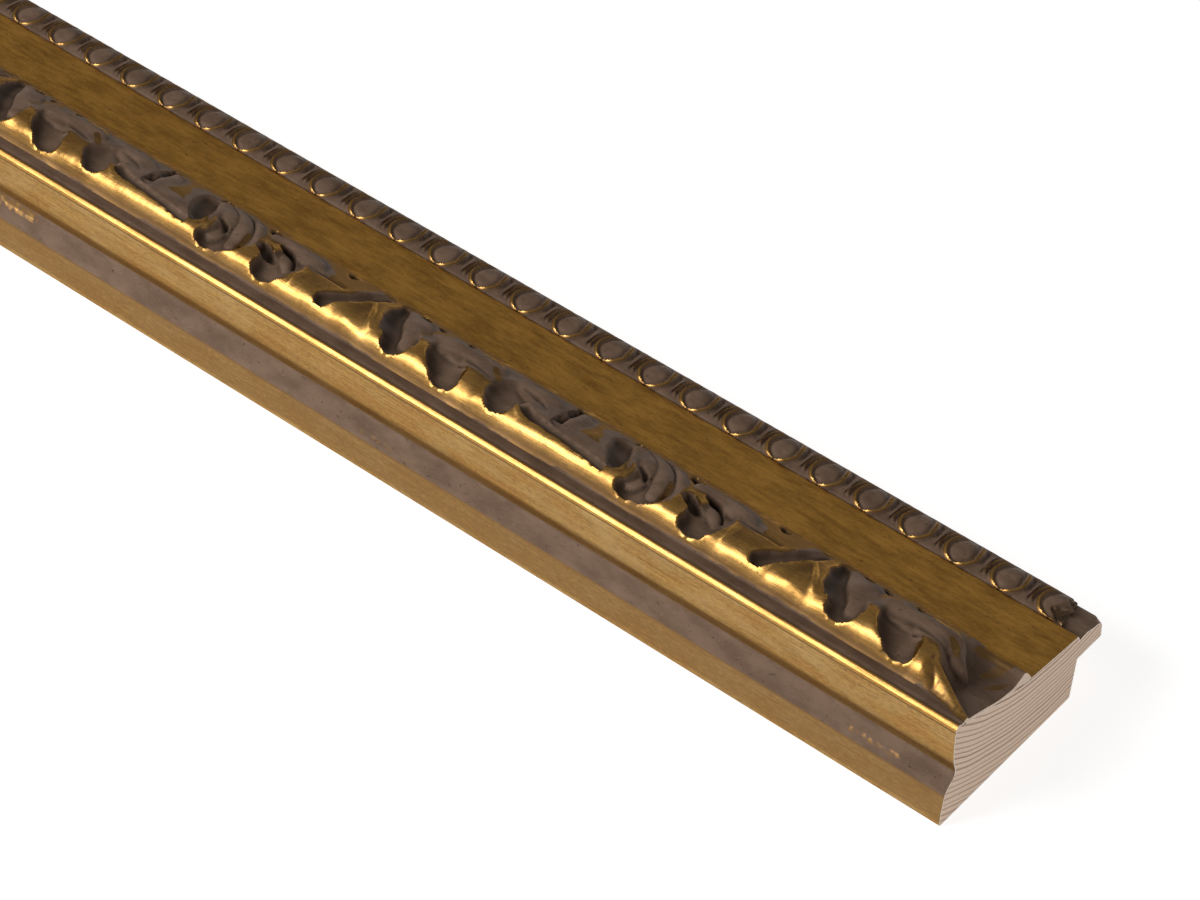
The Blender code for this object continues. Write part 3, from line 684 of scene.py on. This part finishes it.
def wood_mesh():
    """The milled core: its section spun along the length, capped, with a gesso line at each cut."""
    bm = bmesh.new()
    paint, tone, bare = [bm.verts.layers.float.new(name) for name in ("wash", "tone", "bare")]
    ring = []
    for y, z, wash, warmth in wood_outline():
        vertex = bm.verts.new(placed(0.0, float(y), float(z)))
        vertex[paint], vertex[tone] = float(wash), warmth
        ring.append(vertex)
    edges = [bm.edges.new(pair) for pair in zip(ring, ring[1:] + ring[:1])]
    bmesh.ops.spin(bm, geom=ring + edges, cent=(0, 0, 0), axis=(1, 0, 0), dvec=(-1.0, 0, 0), angle=0.0,
                   steps=FAR_STEPS + NEAR_STEPS, use_merge=False, use_normal_flip=False,
                   use_duplicate=False)
    ends = fill_holes(bm)
    far = LENGTH - NEAR_STEPS * NEAR_STEP
    for vertex in bm.verts:
        k = CAD_BOX[1].x - vertex.co.x
        x = -min(k, NEAR_STEPS) * NEAR_STEP - max(k - NEAR_STEPS, 0) * far / FAR_STEPS
        vertex.co.x = CAD_BOX[1].x + x * MM
        y, z = measured(vertex.co)
        if y < OUTER_DEPTH:
            vertex[paint] -= scuffed(x, z)
        chip = chipped(x, y, z)
        vertex.co.y -= CHIP_DEPTH * chip * MM
        vertex.co.z -= CHIP_DEPTH * chip * MM
        vertex[bare] = min(1.0, 2.5 * chip)
    for face in bm.faces:
        y, z = measured(face.calc_center_median())
        if z < SAWN_BACK or (y > SAWN_RABBET[0] and z < SAWN_RABBET[1]):
            face.material_index = 1
    for face in ends:
        face.material_index = 1
    rims = bmesh.ops.inset_region(bm, faces=ends, thickness=GESSO_LINE * MM, use_even_offset=True)
    for face in rims["faces"]:
        face.material_index = 2
    bmesh.ops.recalc_face_normals(bm, faces=bm.faces)
    return bm


def blurred(z, turns):
    """The height averaged with its neighbours, so many times over."""
    for _ in range(turns):
        padded = np.pad(z, 1, mode="edge")
        z = (padded[:-2, 1:-1] + padded[2:, 1:-1] + padded[1:-1, :-2] + padded[1:-1, 2:] + 2 * z) / 6
    return z


def wear(z):
    """1 on the sharpest crests and -1 in the deepest creases."""
    sharp, broad = z - blurred(z, 6), z - blurred(z, 40)
    return np.clip(sharp / 0.10, -1, 1) * 0.5 + np.clip(broad / 0.35, -1, 1) * 0.5


def hollow_grime_and_shade(x, y, z, sharpness, creased):
    """How dark the hollows and creases among leaves and eggs are painted, 0 to 1: grime and painted shade.
    """
    among = smooth((y - 4.8) / 1.2) * (1 - 0.6 * smooth((x - LEAF_END[0]) / 3.0))
    # painted shade: the deeper a place lies below its surroundings, the darker it is painted
    deep = np.clip((blurred(z, 150) - z) / 1.4, 0, 1)
    return np.clip(0.3 * deep + creased * np.maximum(-sharpness, 0), 0, 1) * among


def feed(tree, node, inputs):
    """Set a node's inputs, each to a plain value or to another node's output."""
    for socket, value in inputs.items():
        if isinstance(value, bpy.types.NodeSocket):
            tree.links.new(value, node.inputs[socket])
        else:
            node.inputs[socket].default_value = value


def shade(tree, kind, inputs=None, **settings):
    """Add a node with its inputs fed and its settings made."""
    node = tree.nodes.new("ShaderNode" + kind)
    for name, value in settings.items():
        setattr(node, name, value)
    feed(tree, node, inputs or {})
    return node


def maths(tree, operation, a, b=0.0):
    return shade(tree, "Math", {0: a, 1: b}, operation=operation).outputs[0]


def times(tree, a, b):
    return maths(tree, "MULTIPLY", a, b)


def weighed(tree, *parts):
    """The sum of values, each given with its weight."""
    total = 0.0
    for value, weight in parts:
        total = maths(tree, "ADD", total, times(tree, value, weight))
    return total


def blend(tree, factor, a, b):
    return shade(tree, "Mix", {"Factor": factor, 6: a, 7: b}, data_type="RGBA").outputs[2]


def spread(tree, value, low, high, to_low=0.0, to_high=1.0):
    """Ease a value from one range to another."""
    inputs = {"Value": value, "From Min": low, "From Max": high, "To Min": to_low, "To Max": to_high}
    return shade(tree, "MapRange", inputs, interpolation_type="SMOOTHSTEP").outputs[0]


def stretched(tree, coordinates, length, width):
    """Coordinates scaled so that one unit is length mm along X and width mm across."""
    scale = (1 / (length * MM), 1 / (width * MM), 1 / (width * MM))
    return shade(tree, "VectorMath", {0: coordinates, 1: scale}, operation="MULTIPLY").outputs[0]


def noise(tree, vector, detail, roughness=0.55):
    inputs = {"Vector": vector, "Scale": 1.0, "Detail": detail, "Roughness": roughness}
    return shade(tree, "TexNoise", inputs).outputs["Fac"]


def grain(tree, coordinates, length, width, detail, roughness=0.55):
    """Noise whose patches are roughly length mm along X and width mm across."""
    return noise(tree, stretched(tree, coordinates, length, width), detail, roughness)


def group(name, inputs, outputs):
    """An empty node group that is given coordinates and more: its tree, what it is given, and its end."""
    tree = bpy.data.node_groups.new(name, "ShaderNodeTree")
    kinds = {"colour": "NodeSocketColor", "value": "NodeSocketFloat", "vector": "NodeSocketVector"}
    for socket, kind in {"Coordinates": "vector", **inputs}.items():
        tree.interface.new_socket(name=socket, in_out="INPUT", socket_type=kinds[kind])
    for socket, kind in outputs.items():
        tree.interface.new_socket(name=socket, in_out="OUTPUT", socket_type=kinds[kind])
    return tree, tree.nodes.new("NodeGroupInput").outputs, tree.nodes.new("NodeGroupOutput")


def use_group(tree, name, place, inputs=None):
    """Outputs of a named group, given the coordinates and its other inputs."""
    given = {"Coordinates": place, **(inputs or {})}
    return shade(tree, "Group", given, node_tree=bpy.data.node_groups[name]).outputs


def aged_gold_group(settings):
    """Gold leaf rubbed along the moulding: streaks, cloudy patches and pinholes to the clay."""
    tree, given, made = group("aged gold", {"Tone": "value"},
                              {"Colour": "colour", "Roughness": "value", "Height": "value"})
    place = given["Coordinates"]
    streaks = grain(tree, place, 14.0, 0.28, 4.0)
    mottle = grain(tree, place, 0.9, 0.4, 5.0, 0.7)
    clouds = grain(tree, place, 9.0, 4.0, 3.0)
    specks = grain(tree, place, 1.3, 0.45, 2.0)
    brushed = grain(tree, place, 5.0, 0.9, 4.0, 0.65)
    worked = weighed(tree, (streaks, 0.4), (mottle, 0.6))
    cloudy = weighed(tree, (brushed, 0.4), (clouds, 0.35), (mottle, 0.25))
    rubbed = blend(tree, spread(tree, worked, 0.36, 0.64), settings.dark_gold, settings.gold)
    clouded = blend(tree, spread(tree, clouds, 0.35, 0.75, 0.0, 0.35), rubbed, settings.pale_gold)
    leaf = blend(tree, spread(tree, clouds, 0.50, 0.30, 0.0, 0.30), clouded, settings.copper)
    panel = blend(tree, spread(tree, cloudy, 0.32, 0.66), settings.panel_dark, settings.panel_gold)
    toned = blend(tree, given["Tone"], leaf, panel)
    pinholes = spread(tree, specks, 0.66, 0.72)
    colour = blend(tree, times(tree, pinholes, 0.6), toned, settings.taupe_dark)
    feed(tree, made, {"Colour": colour, "Roughness": spread(tree, streaks, 0.3, 0.7, 0.40, 0.27),
                      "Height": weighed(tree, (streaks, 1.0), (clouds, 0.8))})


def taupe_wash_group(settings):
    """Matt brown-grey wash, darker and lighter by turns, with a fine tooth."""
    tree, given, made = group("taupe wash", {}, {"Colour": "colour", "Height": "value"})
    place = given["Coordinates"]
    clouds = grain(tree, place, 6.0, 3.0, 4.0)
    tooth = grain(tree, place, 0.5, 0.3, 3.0)
    specks = grain(tree, place, 1.1, 0.5, 3.0, 0.6)
    washed = blend(tree, spread(tree, clouds, 0.3, 0.7), settings.taupe_dark, settings.taupe)
    dusted = blend(tree, spread(tree, tooth, 0.55, 0.8, 0.0, 0.25), washed, settings.taupe_pale)
    scuffed = blend(tree, spread(tree, specks, 0.64, 0.72, 0.0, 0.6), dusted, settings.taupe_pale)
    specked = blend(tree, spread(tree, specks, 0.36, 0.30, 0.0, 0.7), scuffed, settings.grime_and_shade_colour)
    feed(tree, made, {"Colour": specked, "Height": tooth})


def ragged_mask_group():
    """A painted amount turned into a thin film and an opaque cover, both with ragged edges."""
    tree, given, made = group("ragged mask", {"Amount": "value", "Raggedness": "value"},
                              {"Film": "value", "Cover": "value"})
    tooth = grain(tree, given["Coordinates"], 1.4, 0.45, 5.0, 0.65)
    push = times(tree, maths(tree, "SUBTRACT", tooth, 0.5), given["Raggedness"])
    amount = maths(tree, "ADD", given["Amount"], push)
    feed(tree, made, {"Film": spread(tree, amount, 0.05, 0.42), "Cover": spread(tree, amount, 0.50, 0.82)})


def timber_group(settings):
    """Softwood round a pith that lies above the section: rings on the ends, lines along the length."""
    tree, given, made = group("timber", {}, {"Colour": "colour", "Height": "value"})
    place = given["Coordinates"]
    pith = placed(0.0, *PITH)
    parts = shade(tree, "SeparateXYZ", {0: place}).outputs
    across = maths(tree, "SUBTRACT", parts["Y"], pith[1])
    above = maths(tree, "SUBTRACT", parts["Z"], pith[2])
    squares = maths(tree, "ADD", times(tree, across, across), times(tree, above, above))
    wander = times(tree, grain(tree, place, 60.0, 14.0, 2.0), 1.2 * MM)
    radius = maths(tree, "ADD", maths(tree, "POWER", squares, 0.5), wander)
    flow = shade(tree, "CombineXYZ", {"X": times(tree, radius, 1 / (4.5 * MM))}).outputs[0]
    drift = times(tree, noise(tree, flow, 1.0), 2.2)
    turns = maths(tree, "ADD", times(tree, radius, 1 / (RING_WIDTH * MM)), drift)
    ring = maths(tree, "FRACT", turns)
    latewood = times(tree, spread(tree, ring, 0.52, 0.88), spread(tree, ring, 1.0, 0.93))
    strength = spread(tree, noise(tree, flow, 2.0), 0.35, 0.65, 0.4, 1.0)
    fibre = grain(tree, place, 3.0, 0.16, 3.0)
    base = blend(tree, spread(tree, fibre, 0.35, 0.65), settings.wood, settings.wood_pale)
    colour = blend(tree, times(tree, latewood, strength), base, settings.wood_ring)
    feed(tree, made, {"Colour": colour, "Height": maths(tree, "ADD", latewood, fibre)})


def new_material(name):
    material = bpy.data.materials.new(name)
    material.use_nodes = True
    tree = material.node_tree
    return tree, tree.nodes["Principled BSDF"], tree.nodes.new("ShaderNodeTexCoord").outputs["Object"]


def bump(tree, height, strength):
    return shade(tree, "Bump", {"Height": height, "Strength": strength, "Distance": BUMP_DEPTH}).outputs[0]


def gilded_material(name, settings, raggedness, show_worn, polish):
    """Gold leaf with taupe wash where the piece's wash attribute says, worn through on its edges."""
    tree, shader, place = new_material(name)
    painted, worn, tone, bare, shade_and_grime = (
        shade(tree, "Attribute", attribute_name=attribute).outputs["Fac"]
        for attribute in ("wash", "worn", "tone", "bare", "shade_and_grime"))
    gold = use_group(tree, "aged gold", place, {"Tone": tone})
    taupe = use_group(tree, "taupe wash", place)
    timber = use_group(tree, "timber", place)
    amount = maths(tree, "SUBTRACT", painted, times(tree, worn, show_worn))
    film, cover = use_group(tree, "ragged mask", place, {"Amount": amount, "Raggedness": raggedness})
    _, chip = use_group(tree, "ragged mask", place, {"Amount": bare, "Raggedness": 0.5})
    filmed = blend(tree, film, gold["Colour"], settings.film)
    # the wash darkened in the hollows and creases: grime and painted shade
    shaded_and_grimy = blend(tree, shade_and_grime, taupe["Colour"], settings.grime_and_shade_colour)
    colour = blend(tree, chip, blend(tree, cover, filmed, shaded_and_grimy), timber["Colour"])
    matt = maths(tree, "MAXIMUM", cover, chip)
    metal = maths(tree, "SUBTRACT", 1.0, matt)
    polished = maths(tree, "SUBTRACT", gold["Roughness"], polish)
    dulled = maths(tree, "ADD", polished, times(tree, film, 0.12 + polish))
    rough = weighed(tree, (matt, WASH_ROUGHNESS), (metal, dulled))
    height = maths(tree, "ADD", gold["Height"], times(tree, taupe["Height"], matt))
    feed(tree, shader, {"Base Color": colour, "Metallic": metal, "Roughness": rough,
                        "Specular IOR Level": 0.25, "Specular Tint": (0.8, 0.65, 0.5, 1),
                        "Normal": bump(tree, height, 0.35)})


def timber_material(name):
    tree, shader, place = new_material(name)
    timber = use_group(tree, "timber", place)
    feed(tree, shader, {"Base Color": timber["Colour"], "Roughness": 0.75,
                        "Normal": bump(tree, timber["Height"], 0.4)})


def gesso_material(name, colours):
    """Chalky ground and pressed composition where the saw has cut through them."""
    tree, shader, place = new_material(name)
    chalk = grain(tree, place, 0.7, 0.5, 4.0)
    colour = blend(tree, spread(tree, chalk, 0.3, 0.7), *colours)
    feed(tree, shader, {"Base Color": colour, "Roughness": 0.8, "Normal": bump(tree, chalk, 0.3)})


def colour_property(name, description, default):
    return bpy.props.FloatVectorProperty(name=name, description=description, default=(*default, 1.0),
                                         size=4, min=0.0, max=1.0, subtype="COLOR")


class MouldingFinishes(bpy.types.PropertyGroup):
    gold: colour_property("Gold", "Leaf where it is rubbed bright", (0.44, 0.265, 0.09))
    dark_gold: colour_property("Dark gold", "Leaf in the streaks", (0.235, 0.13, 0.045))
    pale_gold: colour_property("Pale gold", "Leaf in the palest clouds", (0.50, 0.36, 0.18))
    copper: colour_property("Copper", "Warm clay glow through the leaf", (0.34, 0.16, 0.06))
    film: colour_property("Film", "Leaf under a thin brown film", (0.23, 0.13, 0.052))
    # dark specks of grime in the wash, and the grime and painted shade in the hollows
    grime_and_shade_colour: colour_property("Grime", "Wash gone dark in the hollows", (0.03, 0.019, 0.012))
    panel_gold: colour_property("Panel gold", "Leaf on the sloped panel", (0.76, 0.40, 0.09))
    panel_dark: colour_property("Panel streaks", "Dark streaks of the sloped panel", (0.36, 0.175, 0.04))
    taupe: colour_property("Taupe", "Wash in the hollows", (0.195, 0.125, 0.086))
    taupe_dark: colour_property("Dark taupe", "Wash where it lies thick", (0.13, 0.080, 0.053))
    taupe_pale: colour_property("Pale taupe", "Dusty bloom on the wash", (0.24, 0.17, 0.125))
    wood: colour_property("Wood", "Sawn softwood", (0.65, 0.465, 0.335))
    wood_pale: colour_property("Pale wood", "Palest fibres", (0.78, 0.60, 0.46))
    wood_ring: colour_property("Latewood", "Dark lines of the rings", (0.27, 0.135, 0.08))
    gesso: colour_property("Gesso", "Chalk ground at the cut edge", (0.80, 0.77, 0.72))
    composition: colour_property("Composition", "Pressed ornament where it is cut", (0.58, 0.44, 0.33))
    # the torn edge of the pressed ornament is painted dark as painted shade
    torn_edge_shade: colour_property("Torn edge", "Pressed ornament where it is torn off", (0.10, 0.062, 0.036))


def number_property(name, description, default, low, high, unit="LENGTH"):
    return bpy.props.FloatProperty(name=name, description=description, default=default, min=low, max=high,
                                   unit=unit)


class MouldingSizes(bpy.types.PropertyGroup):
    leaf_repeat: number_property("Leaf repeat", "Length of one repeat of the leaves", 0.099, 0.05, 0.2)
    leaf_grain: number_property("Leaf mesh", "Spacing of the leaf strip's mesh", 0.00026, 0.0002, 0.002)
    egg_grain: number_property("Egg mesh", "Spacing of the egg strip's mesh", 0.0002, 0.00015, 0.002)


class MouldingStudio(bpy.types.PropertyGroup):
    focal_length: number_property("Focal length", "Camera lens in millimetres", 106.8, 20.0, 300.0, "CAMERA")
    softbox_power: number_property("Softbox", "Power of the left softbox", 5.6, 0.0, 200.0, "POWER")
    surround: number_property("Surround", "Brightness of the room", 0.26, 0.0, 2.0, "NONE")


class MOULDING_OT_materials(bpy.types.Operator):
    """Make the gold, wash, timber and gesso finishes"""

    bl_idname = "moulding.materials"
    bl_label = "Make Finishes"

    def execute(self, context):
        settings = context.scene.moulding_finishes
        aged_gold_group(settings)
        taupe_wash_group(settings)
        ragged_mask_group()
        timber_group(settings)
        gilded_material("gilded moulding", settings, 0.35, 0.0, 0.0)
        gilded_material("gilded leaves", settings, 0.50, 0.2, 0.015)
        gilded_material("washed eggs", settings, 0.4, 0.3, 0.0)
        timber_material("sawn timber")
        gesso_material("gesso edge", (settings.gesso, settings.wood_pale))
        gesso_material("cut composition", (settings.composition, settings.wood_pale))
        # the torn end of the egg strip, painted dark as painted shade
        gesso_material("shaded torn composition", (settings.torn_edge_shade, settings.film))
        return {"FINISHED"}


class MOULDING_OT_wood(bpy.types.Operator):
    """Add the milled wood core with its gilded and washed outer face, panel and sawn ends"""

    bl_idname = "moulding.wood"
    bl_label = "Add Wood Core"

    def execute(self, context):
        finish_piece(wood_mesh(), "gilded_wood_core", "wood_moulding",
                     ("gilded moulding", "sawn timber", "gesso edge"))
        return {"FINISHED"}


class MOULDING_OT_acanthus(bpy.types.Operator):
    """Add the pressed strip of acanthus leaves on the shoulder"""

    bl_idname = "moulding.acanthus"
    bl_label = "Add Acanthus Strip"

    def execute(self, context):
        sizes = context.scene.moulding_sizes
        x, y = strip_grid(0.0, LEAF_BAND, sizes.leaf_grain / MM)
        z, wash = acanthus_relief(x, y, sizes.leaf_repeat / MM)
        bm = relief_mesh(x, y, z, wash, GRIME_AND_SHADE_AMONG_LEAVES, LEAF_UNDERSIDE)
        finish_piece(bm, "gilded_acanthus", "acanthus_strip",
                     ("gilded leaves", "cut composition"))
        return {"FINISHED"}


class MOULDING_OT_eggs(bpy.types.Operator):
    """Add the pressed egg-and-dart strip along the sight edge"""

    bl_idname = "moulding.eggs"
    bl_label = "Add Egg and Dart Strip"

    def execute(self, context):
        x, y = strip_grid(TORN_END[0], EGG_BAND, context.scene.moulding_sizes.egg_grain / MM)
        x, z, wash = torn_off(x, y, *egg_relief(x, y))
        bm = relief_mesh(x, y, z, wash, GRIME_AND_SHADE_AMONG_EGGS, EGG_UNDERSIDE)
        finish_piece(bm, "washed_egg_and_dart", "egg_and_dart_strip",
                     ("washed eggs", "shaded torn composition"))
        return {"FINISHED"}


class MOULDING_OT_stage(bpy.types.Operator):
    """Add the pale floor, the soft light and the camera"""

    bl_idname = "moulding.stage"
    bl_label = "Add Stage"

    def execute(self, context):
        studio = context.scene.moulding_studio
        self.floor()
        self.softbox(studio.softbox_power)
        self.room(context.scene, studio.surround)
        self.camera(context.scene, studio.focal_length)
        return {"FINISHED"}

    @staticmethod
    def floor():
        bm = bmesh.new()
        bmesh.ops.create_grid(bm, x_segments=1, y_segments=1, size=FLOOR_SIZE)
        bmesh.ops.translate(bm, vec=(0, 0, CAD_BOX[0].z - FLOOR_GAP), verts=bm.verts)
        floor = add_object("floor", mesh_from(bm, "floor"))
        tree, shader, _ = new_material("pale floor")
        feed(tree, shader, {"Base Color": (0.5, 0.5, 0.5, 1), "Roughness": 0.9, "Specular IOR Level": 0.0,
                            "Emission Color": (1, 1, 1, 1), "Emission Strength": 0.8})
        floor.data.materials.append(bpy.data.materials["pale floor"])

    @staticmethod
    def softbox(power):
        light = bpy.data.lights.new("left softbox", "AREA")
        light.shape = "SQUARE"
        light.size = SOFTBOX_SIZE
        light.energy = power
        lamp = add_object("left softbox", light)
        lamp.location = LIT_POINT + SOFTBOX_DIRECTION.normalized() * SOFTBOX_DISTANCE
        lamp.rotation_euler = (LIT_POINT - lamp.location).to_track_quat("-Z", "Y").to_euler()

    @staticmethod
    def room(scene, surround):
        world = bpy.data.worlds.new("studio")
        world.use_nodes = True
        feed(world.node_tree, world.node_tree.nodes["Background"],
             {"Color": (1.0, 0.98, 0.95, 1), "Strength": surround})
        scene.world = world
        scene.view_settings.view_transform = "Standard"

    @staticmethod
    def camera(scene, focal_length):
        camera = add_object("camera", bpy.data.cameras.new("camera"))
        camera.data.lens = focal_length
        camera.data.sensor_width = 36.0
        back = CAMERA_RIGHT.cross(CAMERA_UP)
        turn = Matrix((CAMERA_RIGHT, CAMERA_UP, back)).transposed().to_4x4()
        camera.matrix_world = Matrix.Translation(CAMERA_PLACE) @ turn
        scene.camera = camera


class MOULDING_PT_panel(bpy.types.Panel):
    bl_idname = "MOULDING_PT_panel"
    bl_label = "Frame Moulding"
    bl_space_type = "VIEW_3D"
    bl_region_type = "UI"
    bl_category = "Moulding"

    def draw(self, context):
        for group_name in ("moulding_finishes", "moulding_sizes", "moulding_studio"):
            settings = getattr(context.scene, group_name)
            box = self.layout.box()
            for name in settings.__annotations__:
                box.prop(settings, name)
        for operator in OPERATORS:
            self.layout.operator(operator.bl_idname)


GROUPS = {"moulding_finishes": MouldingFinishes, "moulding_sizes": MouldingSizes,
          "moulding_studio": MouldingStudio}
OPERATORS = (MOULDING_OT_materials, MOULDING_OT_wood, MOULDING_OT_acanthus, MOULDING_OT_eggs,
             MOULDING_OT_stage)


def register():
    for kind in (*GROUPS.values(), *OPERATORS, MOULDING_PT_panel):
        bpy.utils.register_class(kind)
    for name, kind in GROUPS.items():
        setattr(bpy.types.Scene, name, bpy.props.PointerProperty(type=kind))


def unregister():
    for name in GROUPS:
        delattr(bpy.types.Scene, name)
    for kind in reversed((*GROUPS.values(), *OPERATORS, MOULDING_PT_panel)):
        bpy.utils.unregister_class(kind)


def main():
    register()
    bpy.ops.moulding.materials()
    bpy.ops.moulding.wood()
    bpy.ops.moulding.acanthus()
    bpy.ops.moulding.eggs()
    bpy.ops.moulding.stage()


if __name__ == "__main__":
    main()
